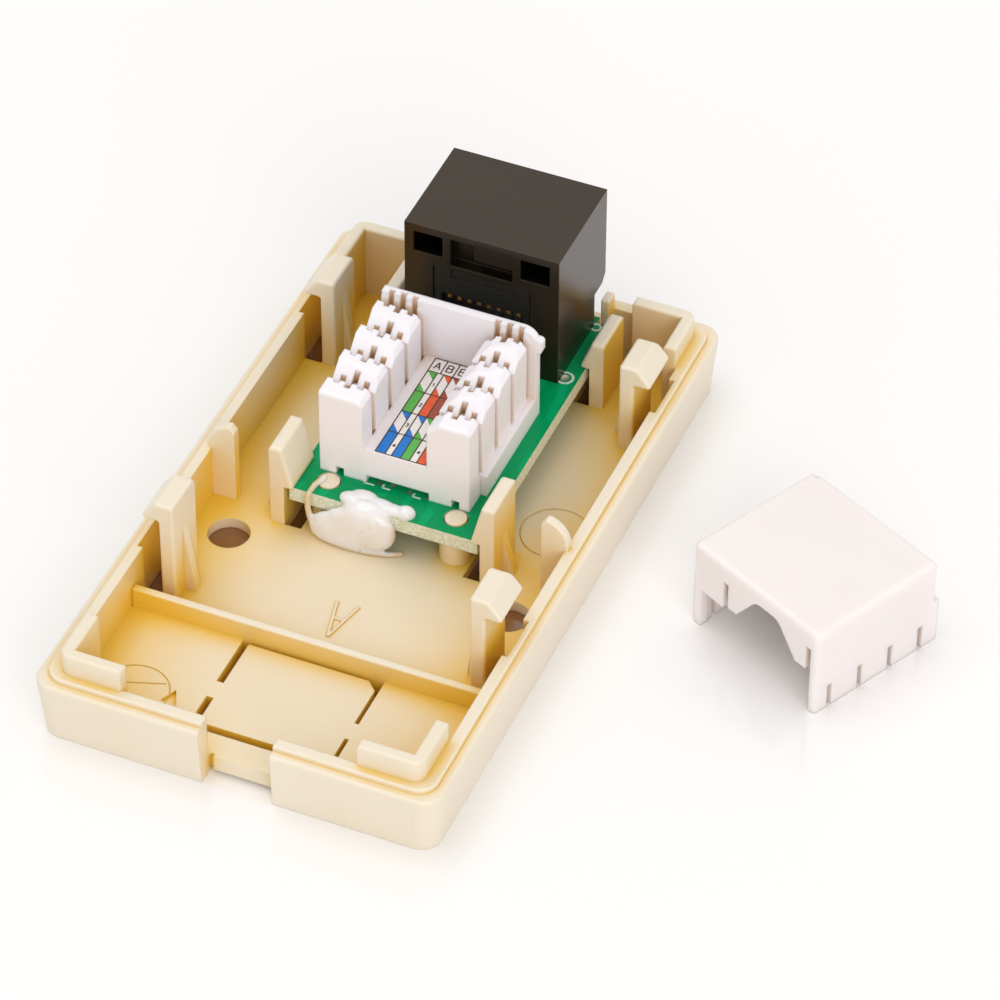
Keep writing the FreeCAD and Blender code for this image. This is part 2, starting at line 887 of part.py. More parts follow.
def back_wall():
    """Back wall of the block, with a rounded corner and a small ear on the right."""
    top = board_top + back_wall_rise
    right = right_row_outer + skirt_reach
    c = back_wall_corner
    y0 = block_back - back_wall_thickness
    outline = [vec(-left_row_outer, y0, top), vec(right - c, y0, top)]
    swing = c * (1 - math.sin(math.pi / 4))
    arc = Part.Arc(outline[1], vec(right - swing, y0, top - swing), vec(right, y0, top - c))
    low = [vec(right, y0, top - c), vec(right, y0, board_top), vec(-left_row_outer, y0, board_top),
           outline[0]]
    edges = [Part.makeLine(outline[0], outline[1]), arc.toShape()]
    edges += [Part.makeLine(a, b) for a, b in zip(low, low[1:])]
    wall = Part.Face(Part.Wire(edges)).extrude(vec(0, back_wall_thickness, 0))
    ear_top = top - ear_drop
    ear = block(right - c, right + ear_reach, y0, block_back, ear_top - ear_height, ear_top)
    tips = [e for e in ear.Edges if e.BoundBox.XMin > right and e.BoundBox.YLength > 0.1]
    return [wall, ear.makeFillet(ear_reach * 0.8, tips)]


def block_cuts():
    """Blade pockets, side pockets in the teeth, and notches in the block's front foot."""
    half = slot_width / 2
    high = tooth_top + past
    cuts = []
    for x, y in blade_places():
        wide = blade_pocket_width / 2
        end = min(y + blade_pocket_back, block_back - blade_pocket_wall)
        cuts.append(block(x - wide, x + wide, y - blade_pocket_front, end, board_top - past, high))
        for side in (-1, 1):
            centre = x + side * side_pocket_set
            cuts.append(block(centre - side_pocket_width / 2, centre + side_pocket_width / 2,
                              y - half - side_pocket_front, y + half + side_pocket_back,
                              tooth_top - side_pocket_depth, high))
    y1 = block_front + foot_notch_depth
    z1 = board_top + foot_notch_height
    for x, width in ((-foot_notch_x, foot_notch_width), (0, foot_arch_width),
                     (foot_notch_x, foot_notch_width)):
        cuts.append(block(x - width / 2, x + width / 2, block_front - past, y1,
                          board_top - past, z1))
    return cuts


def idc_block():
    """White contact block with two rows of wire slots."""
    left = row(-1, left_row_outer, left_row_inner, left_crown)
    right = row(1, right_row_outer, right_row_inner, right_crown)
    deck = block(-left_row_inner, right_row_inner, block_front, block_back, board_top,
                 block_floor)
    skirt = block(right_row_inner, right_row_outer + skirt_reach, block_front + skirt_front_set,
                  block_back - skirt_back_set, board_top, board_top + skirt_height)
    body = joined([left, right, deck, skirt] + back_wall())
    for cut in block_cuts():
        body = body.cut(cut)
    return body


def idc_blade(x, y):
    """One forked blade with a leg through the board."""
    top = tooth_top - blade_top_drop
    half = blade_thickness / 2
    plate = block(x - half, x + half, y - blade_length / 2, y + blade_length / 2, board_top, top)
    slit = block(x - past, x + past, y - blade_slit / 2, y + blade_slit / 2,
                 top - blade_slit_depth, top + past)
    leg = block(x - half, x + half, y - blade_leg_width / 2, y + blade_leg_width / 2,
                board_bottom - blade_leg_length, board_top)
    return plate.cut(slit).fuse(leg).removeSplitter()


def wiring_label():
    """Paper label with the wiring colours, on the block's floor."""
    return block(-left_row_inner + label_left_margin, right_row_inner - label_right_margin,
                 block_front + label_front_margin,
                 block_back - back_wall_thickness - label_back_margin,
                 block_floor, block_floor + label_thickness)


def solder_cone(x, y, radius):
    """Solder cone hanging under the board."""
    cone = Part.makeCone(radius * solder_tip, radius, solder_height,
                         vec(x, y, board_bottom - solder_height))
    return cone


def jack_solder_joints():
    """Solder cones round the eight jack leads."""
    joints = []
    for x in wire_places():
        lead = block(x - wire_width / 2, x + wire_width / 2, wire_leg_y - wire_thickness / 2,
                     wire_leg_y + wire_thickness / 2, board_bottom - past, board_bottom + past)
        joints.append(solder_cone(x, wire_leg_y, lead_solder_radius).cut(lead))
    return Part.makeCompound(joints)


def idc_solder_joints():
    """Solder cones round the eight blade legs."""
    joints = []
    for x, y in blade_places():
        leg = block(x - blade_thickness / 2, x + blade_thickness / 2, y - blade_leg_width / 2,
                    y + blade_leg_width / 2, board_bottom - past, board_bottom + past)
        joints.append(solder_cone(x, y, blade_solder_radius).cut(leg))
    return Part.makeCompound(joints)


def glue_dab(solids):
    """Dab of clear glue from the floor over the board's front edge, clear of other solids."""
    ball = Part.makeSphere(1.0)
    stretch = FreeCAD.Matrix()
    stretch.scale(glue_half_width, glue_half_depth, glue_rise)
    dab = ball.transformGeometry(stretch)
    dab.translate(vec(glue_x, board_front + glue_set, floor_thickness))
    reach = glue_half_width + past
    above = block(glue_x - reach, glue_x + reach, board_front - reach, board_front + reach,
                  floor_thickness, board_top + glue_rise + past)
    dab = dab.common(above)
    for solid in solids:
        dab = dab.cut(solid)
    return max(dab.Solids, key=lambda s: s.Volume)


# Loose wire cap


def cap_shell():
    """Five-sided cap, open below, with a skirt step on its two far sides."""
    half_x = cap_width / 2
    half_y = cap_depth / 2
    outer = block(-half_x, half_x, -half_y, half_y, 0, cap_height)
    outer = outer.makeFillet(cap_rounding, [e for e in outer.Edges
                                            if e.CenterOfMass.z > cap_height / 4])
    skirt = block(-half_x - cap_skirt_reach, half_x, -half_y + cap_rounding,
                  half_y + cap_skirt_reach, 0, cap_skirt_height)
    inner = block(-half_x + cap_wall, half_x - cap_wall, -half_y + cap_wall, half_y - cap_wall,
                  -past, cap_height - cap_top)
    return outer.fuse(skirt).cut(inner).removeSplitter()


def cap_entry_cuts():
    """Arch, slots and lifted panes in the side where the cable enters."""
    y0 = -cap_depth / 2 - past
    y1 = -cap_depth / 2 + cap_wall
    corner = -cap_width / 2
    left = corner + cap_post_left
    pane = left + cap_pane_width
    post = cap_width / 2 - cap_post_right
    cuts = [block(left, pane + cap_slot_width, y0, y1, -past, cap_pane_bottom)]
    cuts.append(block(pane, pane + cap_slot_width, y0, y1, 0, cap_slot_top))
    cuts.append(block(pane, post, y0, y1, -past, cap_tab_bottom))
    cuts.append(block(post - cap_slot_width, post, y0, y1, 0, cap_slot_top))
    arch_left = corner + cap_arch_left
    arch_right = corner + cap_arch_right
    arch = across_y([(arch_left, 0), (arch_left, cap_tab_bottom),
                     (arch_left + cap_arch_slope, cap_arch_top),
                     (arch_right - cap_arch_slope, cap_arch_top),
                     (arch_right, cap_tab_bottom), (arch_right, 0)], y0, y1)
    bends = [e for e in arch.Edges if e.BoundBox.ZMin > cap_tab_bottom - 0.01
             and e.BoundBox.YLength > cap_wall]
    cuts.append(arch.makeFillet(cap_arch_corner, bends))
    return cuts


def cap_side_notches():
    """Wire notches along the lower edges of the two long sides, one at each slot."""
    pitch_start = -(slot_count - 1) * slot_pitch / 2
    half = cap_notch_width / 2
    reach = cap_width / 2 + cap_skirt_reach + past
    cuts = []
    for k in range(slot_count):
        y = pitch_start + k * slot_pitch
        cuts.append(block(-reach, reach, y - half, y + half, -past, cap_notch_height))
    return cuts


def cap_ribs():
    """Ribs under the top that press the wires into the slots."""
    pitch_start = -(slot_count - 1) * slot_pitch / 2
    top = cap_height - cap_top
    half = cap_rib_thickness / 2
    ribs = []
    for k in range(slot_count):
        y = pitch_start + k * slot_pitch
        for side in (-1, 1):
            x0, x1 = sorted((side * left_row_inner, side * (cap_width / 2 - cap_wall / 2)))
            ribs.append(block(x0, x1, y - half, y + half, top - cap_rib_drop, top + cap_top / 2))
    return ribs


def wire_cap():
    """Wire cap, turned and laid on the table beside the base."""
    cap = cap_shell()
    for cut in cap_entry_cuts() + cap_side_notches():
        cap = cap.cut(cut)
    nick = block(-cap_nick, past, -cap_nick, past, cap_height - cap_nick, cap_height + past)
    nick.translate(vec(cap_width / 2, cap_depth / 2, 0))
    nick.translate(vec(-cap_width, 0, 0))
    cap = joined([cap] + cap_ribs()).cut(nick)
    cap.rotate(vec(0, 0, 0), vec(0, 0, 1), cap_turn)
    cap.translate(vec(cap_x, cap_y, 0))
    return cap


def model():
    """Every node of the part, by name."""
    nodes = {"base": base(), "circuit_board": circuit_board(), "jack_housing": jack_housing()}
    nodes["jack_insert"] = jack_insert()
    for k, x in enumerate(wire_places()):
        nodes["contact_wire_%d" % (k + 1)] = contact_wire(x)
    nodes["idc_block"] = idc_block()
    for k, (x, y) in enumerate(blade_places()):
        nodes["idc_blade_%d" % (k + 1)] = idc_blade(x, y)
    nodes["wiring_label"] = wiring_label()
    nodes["jack_solder_joints"] = jack_solder_joints()
    nodes["idc_solder_joints"] = idc_solder_joints()
    nodes["glue_dab"] = glue_dab([nodes["circuit_board"], nodes["base"], nodes["idc_block"]])
    nodes["wire_cap"] = wire_cap()
    return nodes


os.makedirs("parts", exist_ok=True)
for name, shape in model().items():
    shape.exportStep("parts/%s.step" % name)
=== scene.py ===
"""Looks of the opened surface mount jack box.

Finishes, wiring label, board print, glue, solder, floor, lights and camera.
"""
import logging
import math
from dataclasses import dataclass
from enum import Enum
from typing import Callable, Sequence

import bmesh
import bpy
from mathutils import Euler, Matrix, Vector

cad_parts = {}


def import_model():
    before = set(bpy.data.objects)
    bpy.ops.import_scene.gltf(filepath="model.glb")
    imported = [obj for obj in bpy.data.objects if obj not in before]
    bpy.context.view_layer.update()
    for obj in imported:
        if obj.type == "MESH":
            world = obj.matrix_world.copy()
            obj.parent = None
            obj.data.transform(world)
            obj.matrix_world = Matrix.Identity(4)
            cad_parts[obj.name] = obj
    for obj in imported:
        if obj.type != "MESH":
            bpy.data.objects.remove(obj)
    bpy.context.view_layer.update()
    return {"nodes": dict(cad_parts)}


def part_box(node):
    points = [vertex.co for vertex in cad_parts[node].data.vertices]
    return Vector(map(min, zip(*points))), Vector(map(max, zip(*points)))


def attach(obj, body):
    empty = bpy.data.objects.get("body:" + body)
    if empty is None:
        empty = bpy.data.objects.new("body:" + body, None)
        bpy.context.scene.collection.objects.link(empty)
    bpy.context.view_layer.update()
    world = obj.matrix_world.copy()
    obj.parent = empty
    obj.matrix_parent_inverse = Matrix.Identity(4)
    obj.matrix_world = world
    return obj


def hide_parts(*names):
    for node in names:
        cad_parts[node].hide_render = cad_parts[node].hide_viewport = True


LOG = logging.getLogger("jack_box")
MM = 0.001
WIRE_PAIRS = 4
SHUT_SAMPLES = 8
EDGE_SAMPLES = 6
FILLET_SIDES = 20
FILLET_RINGS = 5
FILLET_TIP = 0.45
Colour = tuple[float, float, float]
Point = tuple[float, float, float]


def tone(red: int, green: int, blue: int) -> Colour:
    """A screen colour as the linear colour that a shader takes.

    Args:
        red: Red from 0 to 255.
        green: Green from 0 to 255.
        blue: Blue from 0 to 255.

    Returns:
        The three linear values.
    """
    def linear(value: float) -> float:
        """One screen value made linear."""
        return value / 12.92 if value <= 0.04045 else ((value + 0.055) / 1.055) ** 2.4
    return linear(red / 255), linear(green / 255), linear(blue / 255)


# Shader building


class Wire:
    """One output or number in a shader tree, with arithmetic that adds Math nodes."""

    def __init__(self, tree: "Tree", socket: bpy.types.NodeSocket) -> None:
        """Keeps the tree and the socket."""
        self.tree = tree
        self.socket = socket

    def _math(self, operation: str, *values: "Wire | float") -> "Wire":
        """A Math node on these values."""
        return self.tree.node("ShaderNodeMath", {"operation": operation}, dict(enumerate(values)))

    def __add__(self, other: "Wire | float") -> "Wire":
        """Sum."""
        return self._math("ADD", self, other)

    __radd__ = __add__

    def __sub__(self, other: "Wire | float") -> "Wire":
        """Difference."""
        return self._math("SUBTRACT", self, other)

    def __rsub__(self, other: "Wire | float") -> "Wire":
        """Difference, from a number."""
        return self._math("SUBTRACT", other, self)

    def __mul__(self, other: "Wire | float") -> "Wire":
        """Product."""
        return self._math("MULTIPLY", self, other)

    __rmul__ = __mul__

    def __gt__(self, other: "Wire | float") -> "Wire":
        """One where this is greater, else zero."""
        return self._math("GREATER_THAN", self, other)

    def __lt__(self, other: "Wire | float") -> "Wire":
        """One where this is less, else zero."""
        return self._math("LESS_THAN", self, other)

    def __abs__(self) -> "Wire":
        """Size without sign."""
        return self._math("ABSOLUTE", self)

    def clamped(self) -> "Wire":
        """Held between zero and one."""
        return self.tree.node("ShaderNodeClamp", {}, {0: self})


class Tree:
    """A material's node tree."""

    def __init__(self, name: str) -> None:
        """Starts an empty material.

        Args:
            name: The material's name.
        """
        self.material = bpy.data.materials.new(name)
        self.material.use_nodes = True
        self.nodes = self.material.node_tree.nodes
        self.links = self.material.node_tree.links
        self.nodes.clear()

    def node(self, kind: str, settings: dict, inputs: dict, output: int | str = 0) -> Wire:
        """Adds a node.

        Args:
            kind: The node's type.
            settings: Attributes of the node, set first.
            inputs: Values or wires by socket name or number.
            output: The output that is returned.

        Returns:
            The chosen output.
        """
        made = self.nodes.new(kind)
        for key, value in settings.items():
            setattr(made, key, value)
        for key, value in inputs.items():
            if isinstance(value, Wire):
                self.links.new(value.socket, made.inputs[key])
            else:
                made.inputs[key].default_value = value
        return Wire(self, made.outputs[output])

    def place(self) -> Wire:
        """Object coordinates."""
        return self.node("ShaderNodeTexCoord", {}, {}, "Object")

    def _split(self, vector: Wire) -> tuple[Wire, Wire, Wire]:
        """X, Y and Z of a vector."""
        outs = self.node("ShaderNodeSeparateXYZ", {}, {0: vector}).socket.node.outputs
        return Wire(self, outs[0]), Wire(self, outs[1]), Wire(self, outs[2])

    def noise(self, size: float, detail: float = 3, rough: float = 0.5) -> Wire:
        """Noise on object coordinates.

        Args:
            size: Size of one lump in metres.
            detail: Octaves.
            rough: How strong the fine octaves are.

        Returns:
            The noise value.
        """
        return self.node("ShaderNodeTexNoise", {}, {"Vector": self.place(), "Scale": 1 / size,
                                                    "Detail": detail, "Roughness": rough}, "Fac")

    def axes(self) -> tuple[Wire, Wire, Wire]:
        """X, Y and Z of the object coordinates."""
        return self._split(self.place())

    def facing(self) -> tuple[Wire, Wire, Wire]:
        """X, Y and Z of the true surface normal."""
        return self._split(self.node("ShaderNodeNewGeometry", {}, {}, "True Normal"))

    def mixed(self, amount: Wire | float, first: Wire | Colour, second: Wire | Colour) -> Wire:
        """Colour between two colours.

        Args:
            amount: Zero for the first, one for the second.
            first: A colour or wire.
            second: A colour or wire.

        Returns:
            The mixed colour.
        """
        def full(value: Wire | Colour) -> Wire | tuple:
            """A colour with its alpha."""
            return value if isinstance(value, Wire) else (*value, 1)
        return self.node("ShaderNodeMix", {"data_type": "RGBA"},
                         {0: amount, 6: full(first), 7: full(second)}, 2)

    def bump(self, height: Wire, depth: float, normal: Wire | None = None) -> Wire:
        """Normal bent by a height.

        Args:
            height: The height, from zero to one.
            depth: Metres of relief at one.
            normal: A normal to start from.

        Returns:
            The normal.
        """
        inputs = {"Height": height, "Distance": depth, "Strength": 1.0}
        if normal is not None:
            inputs["Normal"] = normal
        return self.node("ShaderNodeBump", {}, inputs)

    def shut_in(self, reach: float) -> Wire:
        """How much the surroundings close a point in, from zero in the open to one.

        Args:
            reach: How far the surroundings count, in metres.

        Returns:
            The share that is closed in.
        """
        open_share = self.node("ShaderNodeAmbientOcclusion",
                               {"samples": SHUT_SAMPLES, "only_local": True},
                               {"Distance": reach}, "AO")
        return 1 - open_share

    def soft_edges(self, radius: float) -> Wire:
        """Normal that rounds sharp edges.

        Args:
            radius: Radius of the rounding in metres.

        Returns:
            The normal.
        """
        return self.node("ShaderNodeBevel", {"samples": EDGE_SAMPLES}, {"Radius": radius})

    def finish(self, constants: dict, inputs: dict) -> bpy.types.Material:
        """Adds the Principled shader and the output.

        Args:
            constants: Values that are the same all over, by socket name.
            inputs: What changes over the surface, by socket name.

        Returns:
            The material.
        """
        self.output(self.node("ShaderNodeBsdfPrincipled", {}, {**constants, **inputs}))
        return self.material

    def output(self, shader: Wire) -> None:
        """Joins a shader to the material's output."""
        made = self.nodes.new("ShaderNodeOutputMaterial")
        self.links.new(shader.socket, made.inputs["Surface"])


# Finishes


@dataclass(frozen=True)
class Moulding:
    """Injection-moulded plastic: faint flow clouds, fine grain, soft edges, painted shade in
    hollows.

    A spot takes more of the painted shade tone the more its own piece shuts it in. Faces that
    look along -Y take less of it where they stand high or far back, which is painted light as if
    lit from the front, and low floors take a little more painted shade.
    """

    name: str
    colour: Colour
    cloudy: Colour
    # Painted shade: the tone that shut-in spots take, and how far and how strongly they take it.
    hollow_shade: Colour
    shade_reach: float = 11 * MM
    shade_start: float = 0.1
    shade_gain: float = 1.7
    # Painted light: the share by which front faces stay lighter where they stand high or far back.
    lit_front: float = 0.0
    lit_above: float = 4 * MM
    lit_above_fade: float = 2 * MM
    lit_behind: float = -17 * MM
    lit_behind_fade: float = 1 * MM
    # Painted shade added on low upward floors.
    low_floor_shade: float = 0.0
    low_floor_below: float = 3.5 * MM
    roughness: float = 0.3
    cloud_roughness: float = 0.1
    grain_roughness: float = 0.05
    cloud: float = 9 * MM
    cloud_start: float = 0.35
    cloud_gain: float = 1.6
    grain: float = 0.12 * MM
    grain_depth: float = 0.003 * MM
    edge: float = 0.18 * MM
    glow: float = 0.0
    glow_reach: Point = (1.0, 0.6, 0.3)
    glow_scale: float = 0.8 * MM
    specular: float = 0.5
    sheen: Colour = tone(255, 255, 255)

    def build(self) -> bpy.types.Material:
        """Makes the material."""
        tree = Tree(self.name)
        clouds = tree.noise(self.cloud, detail=3)
        fine = tree.noise(self.grain, detail=2)
        colour = tree.mixed(((clouds - self.cloud_start) * self.cloud_gain).clamped(),
                            self.cloudy, self.colour)
        # Painted shade: the colour turns toward the shade tone where the piece itself shuts a spot
        # in.
        shut = tree.shut_in(self.shade_reach) - self.shade_start
        depth = (shut * self.shade_gain).clamped()
        _, faces_back, faces_up = tree.facing()
        _, along, up = tree.axes()
        # Painted light: faces that look along -Y lose part of the painted shade where high or far
        # back.
        high = ((up - self.lit_above) * (1 / self.lit_above_fade)).clamped()
        behind = ((along - self.lit_behind) * (1 / self.lit_behind_fade)).clamped()
        pale = (faces_back * -1).clamped() * (high + behind).clamped() * self.lit_front
        depth = depth * (1 - pale)
        # Painted shade: low upward floors take a little more of the shade tone.
        low = faces_up.clamped() * (up < self.low_floor_below)
        colour = tree.mixed((depth + low * self.low_floor_shade).clamped(), colour, self.hollow_shade)
        normal = tree.bump(fine, self.grain_depth, tree.soft_edges(self.edge))
        rough = (self.roughness + (clouds - 0.5) * self.cloud_roughness
                 + (fine - 0.5) * self.grain_roughness)
        return tree.finish({"Subsurface Weight": self.glow, "Subsurface Radius": self.glow_reach,
                            "Subsurface Scale": self.glow_scale,
                            "Specular IOR Level": self.specular,
                            "Specular Tint": (*self.sheen, 1)},
                           {"Base Color": colour, "Roughness": rough, "Normal": normal})


@dataclass(frozen=True)
class BoardMask:
    """Green solder mask over copper runs, with bare fibre on the cut edges."""

    name: str = "board_mask"
    mask: Colour = tone(0, 148, 88)
    copper: Colour = tone(0, 166, 104)
    fibre: Colour = tone(252, 252, 246)
    fibre_dark: Colour = tone(206, 210, 180)
    run_pitch: float = 1.27 * MM
    run_half: float = 0.42 * MM
    run_wander: float = 2.2 * MM
    wander_size: float = 6 * MM
    patch_size: float = 5 * MM
    patch_share: float = 0.47
    copper_share: float = 0.7
    weave: float = 0.16 * MM
    weave_share: float = 0.2
    speck_size: float = 0.3 * MM
    speck_start: float = 0.42
    speck_gain: float = 3
    mask_roughness: float = 0.26
    edge_roughness: float = 0.4
    speck_roughness: float = 0.06
    run_relief: float = 0.5
    mask_relief: float = 0.05
    relief: float = 0.03 * MM
    edge: float = 0.08 * MM
    specular: float = 0.12

    def build(self) -> bpy.types.Material:
        """Makes the material."""
        tree = Tree(self.name)
        across, _, up = tree.axes()
        _, _, facing_up = tree.facing()
        edge = abs(facing_up) < 0.5
        wander = tree.noise(self.wander_size, detail=1)
        lane = tree.node("ShaderNodeMath", {"operation": "PINGPONG"},
                         {0: across + wander * self.run_wander, 1: self.run_pitch})
        patches = tree.noise(self.patch_size, detail=0)
        runs = (lane < self.run_half) * (patches > self.patch_share)
        top = tree.mixed(runs * self.copper_share, self.mask, self.copper)
        layers = tree.node("ShaderNodeMath", {"operation": "SINE"},
                           {0: up * (math.tau / self.weave)})
        speck = tree.noise(self.speck_size, detail=4, rough=0.7)
        fleck = (speck - self.speck_start) * self.speck_gain + layers * self.weave_share
        side = tree.mixed(fleck.clamped(), self.fibre_dark, self.fibre)
        colour = tree.mixed(edge, top, side)
        rough = self.mask_roughness + edge * self.edge_roughness + speck * self.speck_roughness
        height = runs * self.run_relief * (1 - edge) + speck * (edge + self.mask_relief)
        normal = tree.bump(height, self.relief, tree.soft_edges(self.edge))
        return tree.finish({"Specular IOR Level": self.specular},
                           {"Base Color": colour, "Roughness": rough, "Normal": normal})


@dataclass(frozen=True)
class Metal:
    """Plated metal with dull spots."""

    name: str
    colour: Colour
    dull: Colour
    roughness: float = 0.28
    spot_roughness: float = 0.15
    spot: float = 0.6 * MM
    spot_start: float = 0.45
    spot_gain: float = 3
    relief: float = 0.01 * MM
    edge: float = 0.05 * MM

    def build(self) -> bpy.types.Material:
        """Makes the material."""
        tree = Tree(self.name)
        spots = tree.noise(self.spot, detail=4, rough=0.6)
        colour = tree.mixed(((spots - self.spot_start) * self.spot_gain).clamped(),
                            self.colour, self.dull)
        rough = self.roughness + spots * self.spot_roughness
        normal = tree.bump(spots, self.relief, tree.soft_edges(self.edge))
        return tree.finish({"Metallic": 1.0},
                           {"Base Color": colour, "Roughness": rough, "Normal": normal})


@dataclass(frozen=True)
class Glue:
    """Clear hot-melt glue: milky body, amber spots, a tan rim at the left and below that is
    painted light of the ivory floor showing through the thick edge, one streak.
    """

    name: str = "hot_melt"
    milk: Colour = tone(252, 248, 249)
    clear: Colour = tone(249, 241, 236)
    amber: Colour = tone(220, 180, 120)
    # Painted light: tan standing in for the ivory floor showing through the thick clear edge.
    rim: Colour = tone(224, 192, 136)
    body_size: float = 3.2 * MM
    body_start: float = 0.38
    body_gain: float = 5
    spot_size: float = 0.8 * MM
    spot_start: float = 0.66
    spot_gain: float = 8
    rim_share: float = 0.85
    rim_x: float = 6.9 * MM
    rim_x_fade: float = 0.4 * MM
    rim_z: float = 1.7 * MM
    rim_z_fade: float = 0.3 * MM
    streak_share: float = 0.7
    streak_x: float = 1.0 * MM
    streak_fade: float = 0.5 * MM
    streak_top: float = 5.2 * MM
    roughness: float = 0.14
    body_roughness: float = 0.1
    relief: float = 0.08 * MM

    def build(self) -> bpy.types.Material:
        """Makes the material."""
        tree = Tree(self.name)
        body = tree.noise(self.body_size, detail=2)
        spots = tree.noise(self.spot_size, detail=2)
        colour = tree.mixed(((body - self.body_start) * self.body_gain).clamped(),
                            self.clear, self.milk)
        colour = tree.mixed(((spots - self.spot_start) * self.spot_gain).clamped(),
                            colour, self.amber)
        across, _, up = tree.axes()
        # Painted light of the ivory floor showing through the thick left and lower edge.
        left = ((across * -1 - self.rim_x) * (1 / self.rim_x_fade)).clamped()
        low = ((self.rim_z - up) * (1 / self.rim_z_fade)).clamped()
        colour = tree.mixed((left + low).clamped() * self.rim_share, colour, self.rim)
        streak = ((across - self.streak_x) * (1 / self.streak_fade)).clamped()
        streak = streak * (up < self.streak_top) * self.streak_share
        colour = tree.mixed(streak, colour, self.amber)
        return tree.finish({"Transmission Weight": 0.12, "IOR": 1.48, "Subsurface Weight": 0.5,
                            "Subsurface Radius": (1.0, 0.8, 0.6),
                            "Subsurface Scale": 1.5 * MM, "Coat Weight": 0.6,
                            "Coat Roughness": 0.05},
                           {"Base Color": colour,
                            "Roughness": self.roughness + body * self.body_roughness,
                            "Normal": tree.bump(body, self.relief)})


@dataclass(frozen=True)
class Print:
    """Ink or bare paper, with faint mottle."""

    name: str
    colour: Colour
    mottle: Colour
    roughness: float = 0.5
    fleck_roughness: float = 0.1
    fleck_size: float = 0.3 * MM
    fleck_start: float = 0.4
    fleck_gain: float = 2
    relief: float = 0.004 * MM

    def build(self) -> bpy.types.Material:
        """Makes the material."""
        tree = Tree(self.name)
        fleck = tree.noise(self.fleck_size, detail=3)
        colour = tree.mixed(((fleck - self.fleck_start) * self.fleck_gain).clamped(),
                            self.mottle, self.colour)
        return tree.finish({}, {"Base Color": colour,
                                "Roughness": self.roughness + fleck * self.fleck_roughness,
                                "Normal": tree.bump(fleck, self.relief)})


class Finishes:
    """Every finish of the object, made once."""

    def __init__(self) -> None:
        """Builds all the materials."""
        # Ivory: its third colour is painted warm shade in hollows; front faces are kept lighter by
        # painted light, and low floors take a little more painted shade.
        ivory = Moulding("ivory_moulding", tone(237, 226, 207), tone(234, 221, 198),
                         tone(235, 194, 70), glow=0.1, glow_reach=(1.0, 0.75, 0.4),
                         glow_scale=1.0 * MM, shade_gain=2.3, lit_front=0.6,
                         low_floor_shade=0.1)
        # Black: its third colour is painted shade in hollows.
        black = Moulding("black_moulding", tone(33, 26, 19), tone(28, 22, 16), tone(8, 6, 4),
                         shade_reach=5 * MM, roughness=0.25, grain=0.16 * MM,
                         grain_depth=0.008 * MM, edge=0.12 * MM, specular=0.6,
                         sheen=tone(255, 230, 206))
        # Carrier: its third colour is painted shade in hollows.
        carrier = Moulding("black_carrier", tone(34, 28, 24), tone(28, 23, 20), tone(12, 9, 7),
                           shade_reach=4 * MM, roughness=0.4, grain=0.16 * MM,
                           grain_depth=0.012 * MM, edge=0.08 * MM)
        # White block: its third colour is painted tan shade in pockets and slots.
        white = Moulding("white_moulding", tone(247, 243, 248), tone(243, 238, 242),
                         tone(226, 190, 142), shade_reach=3 * MM, shade_start=0.4,
                         shade_gain=1.8, glow=0.12, glow_reach=(1.0, 0.8, 0.65),
                         edge=0.25 * MM)
        # Cap: its third colour is painted shade in hollows.
        cap = Moulding("cap_moulding", tone(244, 235, 233), tone(241, 231, 228),
                       tone(232, 214, 202), shade_reach=6 * MM, shade_start=0.25,
                       shade_gain=1.6, glow=0.4, glow_reach=(1.0, 0.9, 0.85),
                       glow_scale=2.2 * MM, edge=0.25 * MM)
        self.ivory = ivory.build()
        self.black = black.build()
        self.carrier = carrier.build()
        self.white = white.build()
        self.cap = cap.build()
        self.board = BoardMask().build()
        self.gold = Metal("contact_gold", tone(222, 160, 84), tone(176, 116, 58)).build()
        self.tin = Metal("tin_blade", tone(206, 202, 196), tone(160, 156, 150)).build()
        self.solder = Metal("solder_metal", tone(205, 205, 205), tone(150, 150, 150)).build()
        self.glue = Glue().build()
        self.paper = Print("label_paper", tone(246, 242, 238), tone(238, 232, 226)).build()
        self.silk = Print("silk_print", tone(232, 240, 230), tone(205, 222, 208)).build()


class Ink(Enum):
    """Inks on the wiring label."""

    LINE = "line"
    BLUE = "blue"
    GREEN = "green"
    ORANGE = "orange"
    BROWN = "brown"


INK_COLOURS: dict[Ink, tuple[Colour, Colour]] = {
    Ink.LINE: (tone(52, 34, 28), tone(74, 50, 42)),
    Ink.BLUE: (tone(0, 104, 190), tone(10, 122, 208)),
    Ink.GREEN: (tone(72, 168, 62), tone(92, 182, 78)),
    Ink.ORANGE: (tone(226, 72, 30), tone(232, 92, 44)),
    Ink.BROWN: (tone(150, 62, 40), tone(164, 78, 52)),
}


# Mesh helpers


def add_mesh(name: str, mesh: bpy.types.Mesh,
             materials: Sequence[bpy.types.Material]) -> bpy.types.Object:
    """Links a mesh as an object.

    Args:
        name: The object's name.
        mesh: Its mesh, in the part's frame.
        materials: Its materials in slot order.

    Returns:
        The object.
    """
    piece = bpy.data.objects.new(name, mesh)
    bpy.context.scene.collection.objects.link(piece)
    for material in materials:
        mesh.materials.append(material)
    return piece


def closed(name: str, drawn: bmesh.types.BMesh) -> bpy.types.Mesh:
    """Turns a drawn mesh into a named one, and frees the drawn one."""
    made = bpy.data.meshes.new(name)
    drawn.to_mesh(made)
    drawn.free()
    return made


def bake_modifiers(piece: bpy.types.Object) -> None:
    """Puts what an object's modifiers make into its mesh, and removes them."""
    graph = bpy.context.evaluated_depsgraph_get()
    final = bpy.data.meshes.new_from_object(piece.evaluated_get(graph))
    piece.modifiers.clear()
    piece.data = final


